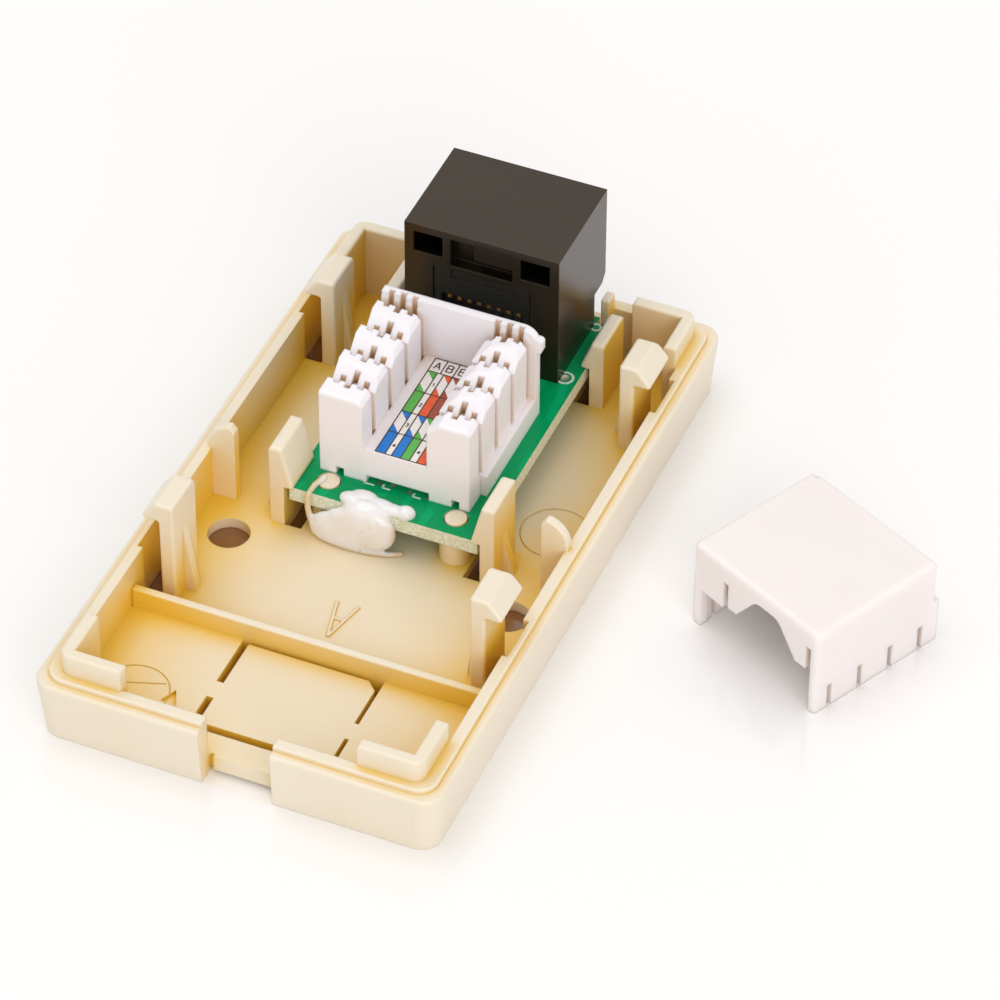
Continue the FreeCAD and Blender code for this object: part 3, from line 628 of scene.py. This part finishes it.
def settle(piece: bpy.types.Object, slot: str, *nodes: str) -> bpy.types.Object:
    """Makes a piece ride on the one body, and hides the nodes that it stands for.

    Args:
        piece: The finished piece.
        slot: Not used.
        nodes: CAD nodes that the piece replaces.

    Returns:
        The piece.
    """
    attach(piece, "root")
    if nodes:
        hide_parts(*nodes)
    LOG.info("%s: %d faces", piece.name, len(piece.data.polygons))
    return piece


# Flat prints


class FlatArt:
    """Flat printed shapes in one mesh, each with a material slot."""

    def __init__(self, height: float) -> None:
        """Starts an empty drawing.

        Args:
            height: Height of the print in metres.
        """
        self.height = height
        self.mesh = bmesh.new()

    def polygon(self, points: Sequence[tuple[float, float]], slot: int) -> None:
        """Adds a polygon of (x, y) points in millimetres.

        Args:
            points: Corners, in order.
            slot: The material slot.
        """
        verts = [self.mesh.verts.new((x * MM, y * MM, self.height)) for x, y in points]
        face = self.mesh.faces.new(verts)
        face.normal_update()
        if face.normal.z < 0:
            face.normal_flip()
        face.material_index = slot

    def bar(self, start: tuple[float, float], end: tuple[float, float], width: float,
            slot: int) -> None:
        """Adds a straight line of a width.

        Args:
            start: First end in millimetres.
            end: Second end.
            width: Width in millimetres.
            slot: The material slot.
        """
        a = Vector(start)
        b = Vector(end)
        side = (b - a).orthogonal().normalized() * width / 2
        self.polygon([tuple(a + side), tuple(b + side), tuple(b - side), tuple(a - side)], slot)

    def ring(self, centre: tuple[float, float], radius: float, width: float, slot: int,
             steps: int = 24) -> None:
        """Adds a ring.

        Args:
            centre: Centre in millimetres.
            radius: Outer radius.
            width: Width of the line.
            slot: The material slot.
            steps: Pieces of the ring.
        """
        for k in range(steps):
            a0 = math.tau * k / steps
            a1 = math.tau * (k + 1) / steps
            corners = [(a0, radius), (a1, radius), (a1, radius - width), (a0, radius - width)]
            self.polygon([(centre[0] + r * math.cos(a), centre[1] + r * math.sin(a))
                          for a, r in corners], slot)

    def glyph(self, sign: str, centre: tuple[float, float], width: float, tall: float,
              line: float, slot: int) -> None:
        """Draws a letter or digit from its strokes.

        Args:
            sign: A key of GLYPHS.
            centre: Centre in millimetres.
            width: Width of the sign.
            tall: Height of the sign.
            line: Width of a stroke.
            slot: The material slot.
        """
        for stroke in GLYPHS[sign]:
            points = [(centre[0] + (x - 0.5) * width, centre[1] + (y - 0.5) * tall)
                      for x, y in stroke]
            for start, end in zip(points, points[1:]):
                self.bar(start, end, line, slot)

    def done(self, name: str) -> bpy.types.Mesh:
        """Closes the drawing as a mesh."""
        return closed(name, self.mesh)


GLYPHS: dict[str, tuple[tuple[tuple[float, float], ...], ...]] = {
    "A": (((0, 0), (0.5, 1), (1, 0)), ((0.2, 0.35), (0.8, 0.35))),
    "B": (((0, 0), (0, 1), (0.75, 1), (0.95, 0.78), (0.75, 0.54), (0, 0.54)),
          ((0.75, 0.54), (1, 0.27), (0.75, 0), (0, 0))),
    "1": (((0.2, 0.75), (0.5, 1), (0.5, 0)),),
    "2": (((0, 0.8), (0.3, 1), (0.8, 0.95), (0.9, 0.65), (0, 0), (1, 0)),),
    "3": (((0, 1), (0.9, 1), (0.45, 0.6), (0.95, 0.3), (0.5, 0), (0, 0.1)),),
    "4": (((0.7, 0), (0.7, 1), (0, 0.3), (1, 0.3)),),
}


# Pieces


@dataclass
class WiringLabel:
    """Printed label on the contact block's floor, with striped and plain wire colours.

    Sizes on the paper are in millimetres; pairs names the column and the two inks of each wire.
    """

    finishes: Finishes
    line: float = 0.12
    margin: float = 0.08
    header: float = 1.9
    columns: Sequence[float] = (-2.32, -1.32, -0.66, 0.24, 1.14, 1.88, 2.78)
    numbered: Sequence[int] = (1, 4)
    letters: str = "ABBA"
    number_at: float = 0.55
    letter_size: tuple[float, float] = (0.6, 0.95)
    letter_bold: float = 1.1
    number_size: tuple[float, float] = (0.26, 0.42)
    number_bold: float = 0.8
    cut: float = 1.15
    bevel: float = 0.02 * MM
    lift: float = 0.012 * MM
    pairs: Sequence[tuple[int, Sequence[Ink]]] = (
        (0, (Ink.GREEN, Ink.BLUE)), (2, (Ink.ORANGE, Ink.BLUE)),
        (3, (Ink.BROWN, Ink.GREEN)), (5, (Ink.BROWN, Ink.ORANGE)))

    def build(self) -> None:
        """Makes the paper and its print."""
        low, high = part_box("wiring_label")
        paper = bmesh.new()
        bmesh.ops.create_cube(paper, size=1)
        bmesh.ops.scale(paper, verts=paper.verts, vec=high - low)
        bmesh.ops.translate(paper, verts=paper.verts, vec=(high + low) / 2)
        bmesh.ops.bevel(paper, geom=list(paper.edges), offset=self.bevel, segments=1,
                        affect="EDGES")
        sheet = closed("wiring_label_paper", paper)
        settle(add_mesh("label_sheet", sheet, [self.finishes.paper]), "label_paper",
               "wiring_label")
        inks = [Print("ink_" + ink.value, *INK_COLOURS[ink]).build() for ink in Ink]
        art = FlatArt(high.z + self.lift)
        ends = (low.y / MM + self.margin, high.y / MM - self.margin)
        self._cells(art, *ends)
        self._grid(art, *ends)
        settle(add_mesh("label_print", art.done("label_print"), inks), "label_paper")

    def _cells(self, art: FlatArt, bottom: float, top: float) -> None:
        """Draws the wire colours: a striped cell above a plain one, twice in each column.

        Args:
            art: The drawing.
            bottom: Lower end of the label in millimetres.
            top: Upper end.
        """
        slots = {ink: k for k, ink in enumerate(Ink)}
        step = (top - self.header - bottom) / WIRE_PAIRS
        for column, inks in self.pairs:
            x0 = self.columns[column]
            x1 = self.columns[column + 1]
            for pair, ink in enumerate(inks):
                y1 = top - self.header - 2 * pair * step
                y0 = y1 - step
                slot = slots[ink]
                art.polygon([(x0, y1), (x1, y1), (x1, y1 - self.cut)], slot)
                art.polygon([(x0, y0 + self.cut), (x0, y0), (x1, y0)], slot)
                art.polygon([(x0, y0), (x0, y0 - step), (x1, y0 - step), (x1, y0)], slot)

    def _grid(self, art: FlatArt, bottom: float, top: float) -> None:
        """Draws the lines, the header's letters and the pair numbers.

        Args:
            art: The drawing.
            bottom: Lower end of the label in millimetres.
            top: Upper end.
        """
        line = list(Ink).index(Ink.LINE)
        left = self.columns[0]
        right = self.columns[-1]
        head = top - self.header
        step = (head - bottom) / WIRE_PAIRS
        art.height += self.lift
        for x in self.columns:
            art.bar((x, bottom), (x, head), self.line, line)
        for row in range(WIRE_PAIRS + 1):
            art.bar((left, head - row * step), (right, head - row * step), self.line, line)
        art.bar((left, top), (right, top), self.line, line)
        cell = (right - left) / len(self.letters)
        for k, letter in enumerate(self.letters):
            x = left + k * cell
            art.bar((x, head), (x, top), self.line, line)
            art.glyph(letter, (x + cell / 2, (head + top) / 2), *self.letter_size,
                      self.line * self.letter_bold, line)
        art.bar((right, head), (right, top), self.line, line)
        for column in self.numbered:
            x = (self.columns[column] + self.columns[column + 1]) / 2
            for row in range(WIRE_PAIRS):
                art.glyph(str(row + 1), (x, head - (row + self.number_at) * step),
                          *self.number_size, self.line * self.number_bold, line)


@dataclass
class BoardPrint:
    """Silk rings, dashes and small pads on the circuit board, in millimetres but for the lift."""

    finishes: Finishes
    lift: float = 0.02 * MM
    line: float = 0.26
    rings: Sequence[tuple[float, float, float]] = ((8.3, 23.0, 0.92), (8.25, 31.0, 0.6))
    dashes: Sequence[tuple[float, float]] = ((-2.85, 1.0), (-1.1, 0.8), (2.0, 0.8))
    dash_line: float = 0.8
    dash_y: float = 1.9
    tick_y: float = 2.4
    pads: Sequence[tuple[float, float]] = ((-2.0, 2.35), (-0.75, 2.5), (1.1, 2.3), (3.1, 2.2))
    pad_radius: float = 0.28
    pad_line: float = 0.27

    def build(self) -> None:
        """Draws the marks on the board's top."""
        _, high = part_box("circuit_board")
        art = FlatArt(high.z + self.lift)
        for x, y, radius in self.rings:
            for side in (-1, 1):
                art.ring((side * x, y), radius, self.line, 0)
        thin = self.line * self.dash_line
        for x, length in self.dashes:
            corner = (x - length / 2, self.dash_y)
            art.bar(corner, (x + length / 2, self.dash_y), thin, 0)
            art.bar(corner, (corner[0], self.tick_y), thin, 0)
        for centre in self.pads:
            art.ring(centre, self.pad_radius, self.pad_line, 1, steps=12)
        settle(add_mesh("board_print", art.done("board_print"),
                        [self.finishes.silk, self.finishes.solder]), "board_green")


@dataclass
class GlueDab:
    """Dab of hot-melt glue, grown from overlapping drops and smoothed into one skin.

    A drop is a centre and three radii in millimetres. The rim is a run of beads along a path.
    """

    finishes: Finishes
    voxel: float = 0.09 * MM
    smoothing: int = 22
    drops: Sequence[tuple[Point, Point]] = (
        ((-3.9, -2.0, 2.6), (3.5, 1.0, 2.3)), ((-3.0, -1.9, 3.3), (3.0, 1.1, 2.4)),
        ((-1.6, -1.8, 3.8), (3.1, 1.2, 2.7)), ((-1.7, -1.3, 5.4), (2.5, 0.9, 1.2)),
        ((-3.5, -0.8, 6.0), (1.2, 0.8, 0.65)), ((-2.4, -0.2, 6.0), (1.5, 0.9, 0.6)),
        ((-0.8, -0.5, 5.9), (1.9, 0.8, 0.6)), ((0.6, -0.7, 5.9), (1.7, 0.8, 0.55)),
        ((2.0, -0.6, 5.9), (1.0, 0.9, 0.75)))
    rim: Sequence[Point] = (
        (-7.0, 0.9, 6.0), (-7.4, -0.4, 6.0), (-7.6, -1.5, 5.6), (-7.5, -1.9, 4.6),
        (-7.3, -2.0, 3.5), (-6.8, -2.1, 2.4), (-6.0, -2.3, 1.7), (-4.8, -2.5, 1.4),
        (-3.2, -2.6, 1.35), (-1.3, -2.5, 1.35), (0.5, -2.1, 1.35), (2.0, -1.4, 1.4))
    rim_radius: float = 0.33
    rim_step: float = 0.2
    smooth_factor: float = 0.6

    def _beads(self) -> list[tuple[Point, Point]]:
        """Small round drops set close together along the rim."""
        beads = []
        for start, end in zip(self.rim, self.rim[1:]):
            run = Vector(end) - Vector(start)
            count = max(1, round(run.length / self.rim_step))
            beads += [(tuple(Vector(start) + run * k / count), (self.rim_radius,) * 3)
                      for k in range(count)]
        return beads

    def build(self) -> None:
        """Makes the dab."""
        low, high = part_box("glue_dab")
        mesh = bmesh.new()
        for centre, radii in [*self.drops, *self._beads()]:
            place = Matrix.Translation(Vector(centre) * MM)
            stretch = Matrix.Diagonal((*(Vector(radii) * MM), 1))
            bmesh.ops.create_icosphere(mesh, subdivisions=3, radius=1, matrix=place @ stretch)
        for vert in mesh.verts:
            for axis in range(3):
                vert.co[axis] = min(max(vert.co[axis], low[axis]), high[axis])
        piece = add_mesh("glue_skin", closed("glue_skin", mesh), [self.finishes.glue])
        remesh = piece.modifiers.new("skin", "REMESH")
        remesh.mode = "VOXEL"
        remesh.voxel_size = self.voxel
        smooth = piece.modifiers.new("smooth", "SMOOTH")
        smooth.factor = self.smooth_factor
        smooth.iterations = self.smoothing
        bake_modifiers(piece)
        for polygon in piece.data.polygons:
            polygon.use_smooth = True
        settle(piece, "clear_glue", "glue_dab")


@dataclass
class SolderFillets:
    """Tapered solder fillets under the board, for the jack's leads and the blades' legs."""

    finishes: Finishes
    height: float = 0.7 * MM
    jack_radius: float = 0.44 * MM
    blade_radius: float = 0.92 * MM

    def build(self) -> None:
        """Makes the fillets of the jack's leads and of the blades' legs."""
        self._grid("jack_fillets", "jack_solder_joints", self.jack_radius, 8, 1)
        self._grid("blade_fillets", "idc_solder_joints", self.blade_radius, 2, 4)

    def _grid(self, name: str, node: str, radius: float, count_x: int, count_y: int) -> None:
        """Makes one grid of fillets.

        Args:
            name: The piece's name.
            node: The CAD node that it replaces.
            radius: Radius of a fillet at the board.
            count_x: Fillets across the width.
            count_y: Fillets along the length.
        """
        low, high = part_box(node)
        tree = fillet_tree(name, self.finishes.solder, self.height)
        piece = add_mesh(name, bpy.data.meshes.new(name), [])
        modifier = piece.modifiers.new("fillets", "NODES")
        modifier.node_group = tree
        values = {"Radius": radius, "Count X": count_x, "Count Y": count_y,
                  "Start": tuple(Vector((low.x + radius, low.y + radius, low.z))),
                  "Step X": (high.x - low.x - 2 * radius) / max(count_x - 1, 1),
                  "Step Y": (high.y - low.y - 2 * radius) / max(count_y - 1, 1)}
        for item in tree.interface.items_tree:
            if item.in_out == "INPUT" and item.name in values:
                modifier[item.identifier] = values[item.name]
        bake_modifiers(piece)
        settle(piece, "solder", node)


def fillet_tree(name: str, material: bpy.types.Material,
                height: float) -> bpy.types.GeometryNodeTree:
    """Geometry tree of a grid of blunt cones.

    Args:
        name: The tree's name.
        material: The fillets' material.
        height: Height of a fillet in metres.

    Returns:
        The tree.
    """
    tree = bpy.data.node_groups.new(name + "_tree", "GeometryNodeTree")
    face = tree.interface
    for label, kind in (("Radius", "NodeSocketFloat"), ("Count X", "NodeSocketInt"),
                        ("Count Y", "NodeSocketInt"), ("Start", "NodeSocketVector"),
                        ("Step X", "NodeSocketFloat"), ("Step Y", "NodeSocketFloat")):
        face.new_socket(label, in_out="INPUT", socket_type=kind)
    face.new_socket("Geometry", in_out="OUTPUT", socket_type="NodeSocketGeometry")
    nodes = tree.nodes
    link = tree.links.new
    given = nodes.new("NodeGroupInput")
    result = nodes.new("NodeGroupOutput")

    def math_node(operation: str, *values: bpy.types.NodeSocket | float) -> bpy.types.NodeSocket:
        """One step of arithmetic.

        Args:
            operation: The Math node's operation.
            values: Its sockets or numbers, in order.

        Returns:
            The result's socket.
        """
        made = nodes.new("ShaderNodeMath")
        made.operation = operation
        for k, value in enumerate(values):
            if isinstance(value, float):
                made.inputs[k].default_value = value
            else:
                link(value, made.inputs[k])
        return made.outputs[0]

    index = nodes.new("GeometryNodeInputIndex").outputs[0]
    count_x = given.outputs["Count X"]
    count_y = given.outputs["Count Y"]
    column = math_node("FLOOR", math_node("DIVIDE", index, count_y))
    row = math_node("SUBTRACT", index, math_node("MULTIPLY", column, count_y))
    place = nodes.new("ShaderNodeCombineXYZ")
    link(math_node("MULTIPLY", column, given.outputs["Step X"]), place.inputs[0])
    link(math_node("MULTIPLY", row, given.outputs["Step Y"]), place.inputs[1])
    add = nodes.new("ShaderNodeVectorMath")
    add.operation = "ADD"
    link(given.outputs["Start"], add.inputs[0])
    link(place.outputs[0], add.inputs[1])
    points = nodes.new("GeometryNodePoints")
    link(math_node("MULTIPLY", count_x, count_y), points.inputs["Count"])
    link(add.outputs[0], points.inputs["Position"])
    cone = nodes.new("GeometryNodeMeshCone")
    cone.inputs["Vertices"].default_value = FILLET_SIDES
    cone.inputs["Side Segments"].default_value = FILLET_RINGS
    cone.inputs["Depth"].default_value = height
    link(given.outputs["Radius"], cone.inputs["Radius Top"])
    link(math_node("MULTIPLY", given.outputs["Radius"], FILLET_TIP), cone.inputs["Radius Bottom"])
    stamp = nodes.new("GeometryNodeInstanceOnPoints")
    link(points.outputs[0], stamp.inputs["Points"])
    link(cone.outputs["Mesh"], stamp.inputs["Instance"])
    real = nodes.new("GeometryNodeRealizeInstances")
    link(stamp.outputs[0], real.inputs[0])
    dress = nodes.new("GeometryNodeSetMaterial")
    dress.inputs["Material"].default_value = material
    link(real.outputs[0], dress.inputs[0])
    link(dress.outputs[0], result.inputs[0])
    return tree


@dataclass
class Carried:
    """CAD nodes that keep their shape and get a finish."""

    finishes: Finishes
    nodes: dict[str, bpy.types.Object]
    contacts: int = 8

    def build(self) -> None:
        """Gives each carried node its finish."""
        dressed = {"base": self.finishes.ivory, "circuit_board": self.finishes.board,
                   "jack_housing": self.finishes.black, "jack_insert": self.finishes.carrier,
                   "idc_block": self.finishes.white, "wire_cap": self.finishes.cap}
        for k in range(1, self.contacts + 1):
            dressed[f"contact_wire_{k}"] = self.finishes.gold
            dressed[f"idc_blade_{k}"] = self.finishes.tin
        for name, material in dressed.items():
            piece = self.nodes[name]
            piece.data.materials.clear()
            piece.data.materials.append(material)
            LOG.info("%s keeps its solid", name)


@dataclass
class Studio:
    """Floor, lights and camera."""

    floor_size: float = 3.0
    floor_tone: Colour = tone(244, 242, 241)
    floor_roughness: float = 0.1
    floor_clouds: float = 0.4
    floor_cloud_roughness: float = 0.02
    lift: float = 0.03
    camera_at: Point = (154.071 * MM, -339.875 * MM, 353.04 * MM)
    camera_turn: Point = (47.1066, -0.2336, 23.0066)
    lens: float = 196.29
    sensor: float = 36
    near: float = 0.01
    world_level: float = 0.8
    world_tone: Colour = (1.0, 0.995, 0.99)
    key_power: float = 2.7
    key_at: Point = (-0.35, 0.05, 1.1)
    key_size: float = 0.8
    fill_power: float = 6.6
    fill_at: Point = (0.85, -0.95, 0.6)
    fill_size: float = 1.0
    # Painted shade: a warm brown patch of this half-size on the floor under the base, seen through
    # its holes.
    under: Point = (19.0 * MM, 31.0 * MM, 0.0)
    shade_patch_tone: Colour = tone(128, 84, 44)

    def build(self) -> None:
        """Sets the whole stage."""
        self._floor()
        self._world()
        self._lamp("key", self.key_at, self.key_size, self.key_power)
        self._lamp("fill", self.fill_at, self.fill_size, self.fill_power)
        self._camera()
        bpy.context.scene.view_settings.view_transform = "Standard"

    def _floor(self) -> None:
        """White glossy floor fading into the background, with painted warm shade under the base.
        """
        tree = Tree("floor_white")
        clouds = tree.noise(self.floor_clouds, detail=1)
        across, along, _ = tree.axes()
        # Painted shade patch under the base, where the floor also gets no lift.
        shade_patch = (abs(across) < self.under[0]) * (abs(along) < self.under[1])
        colour = tree.mixed(shade_patch, self.floor_tone, self.shade_patch_tone)
        rough = self.floor_roughness + clouds * self.floor_cloud_roughness
        base = tree.node("ShaderNodeBsdfPrincipled", {},
                         {"Base Color": colour, "Roughness": rough, "Specular IOR Level": 1.0})
        shown = tree.node("ShaderNodeLightPath", {}, {}, "Is Camera Ray")
        seen = shown.socket.node.outputs
        for name in ("Is Glossy Ray", "Is Transmission Ray"):
            shown = shown + Wire(tree, seen[name])
        shown = shown.clamped()
        glow = tree.node("ShaderNodeEmission", {}, {"Color": (1, 1, 1, 1),
                                                    "Strength": shown * (1 - shade_patch) * self.lift})
        tree.output(tree.node("ShaderNodeAddShader", {}, {0: base, 1: glow}))
        mesh = bmesh.new()
        bmesh.ops.create_grid(mesh, x_segments=1, y_segments=1, size=self.floor_size)
        add_mesh("floor", closed("floor", mesh), [tree.material])

    def _world(self) -> None:
        """Even pale light, and white behind everything."""
        world = bpy.data.worlds.new("studio")
        bpy.context.scene.world = world
        world.use_nodes = True
        nodes = world.node_tree.nodes
        link = world.node_tree.links.new
        nodes.clear()
        path = nodes.new("ShaderNodeLightPath")
        either = path.outputs["Is Camera Ray"]
        for name in ("Is Glossy Ray", "Is Transmission Ray"):
            join = nodes.new("ShaderNodeMath")
            join.operation = "MAXIMUM"
            link(either, join.inputs[0])
            link(path.outputs[name], join.inputs[1])
            either = join.outputs[0]
        level = nodes.new("ShaderNodeMix")
        level.inputs[2].default_value = self.world_level
        level.inputs[3].default_value = 1.0
        background = nodes.new("ShaderNodeBackground")
        background.inputs["Color"].default_value = (*self.world_tone, 1)
        link(either, level.inputs[0])
        link(level.outputs[0], background.inputs["Strength"])
        output = nodes.new("ShaderNodeOutputWorld")
        link(background.outputs[0], output.inputs["Surface"])

    def _lamp(self, name: str, at: Point, size: float, power: float) -> None:
        """Adds a soft area lamp aimed at the object.

        Args:
            name: The lamp's name.
            at: Its place in metres.
            size: Its side in metres.
            power: Its power in watts.
        """
        data = bpy.data.lights.new(name, "AREA")
        data.size = size
        data.energy = power
        lamp = bpy.data.objects.new(name, data)
        bpy.context.scene.collection.objects.link(lamp)
        lamp.location = at
        lamp.rotation_euler = (-Vector(at)).to_track_quat("-Z", "Y").to_euler()

    def _camera(self) -> None:
        """Adds the camera at the photograph's angle."""
        data = bpy.data.cameras.new("camera")
        data.sensor_width = self.sensor
        data.lens = self.lens
        data.clip_start = self.near
        camera = bpy.data.objects.new("camera", data)
        bpy.context.scene.collection.objects.link(camera)
        camera.location = self.camera_at
        camera.rotation_euler = Euler([math.radians(a) for a in self.camera_turn], "XYZ")
        bpy.context.scene.camera = camera


def corners(box: tuple) -> list[list[float]]:
    """A box as plain lists of numbers."""
    return [[float(value) for value in corner] for corner in box]


def main() -> None:
    """Builds every piece in order."""
    logging.basicConfig(level=logging.INFO)
    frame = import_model()
    finishes = Finishes()
    Studio().build()
    steps: list[Callable[[], None]] = [
        Carried(finishes, frame["nodes"]).build, WiringLabel(finishes).build,
        BoardPrint(finishes).build, GlueDab(finishes).build, SolderFillets(finishes).build]
    for step in steps:
        step()


if __name__ == "__main__":
    main()
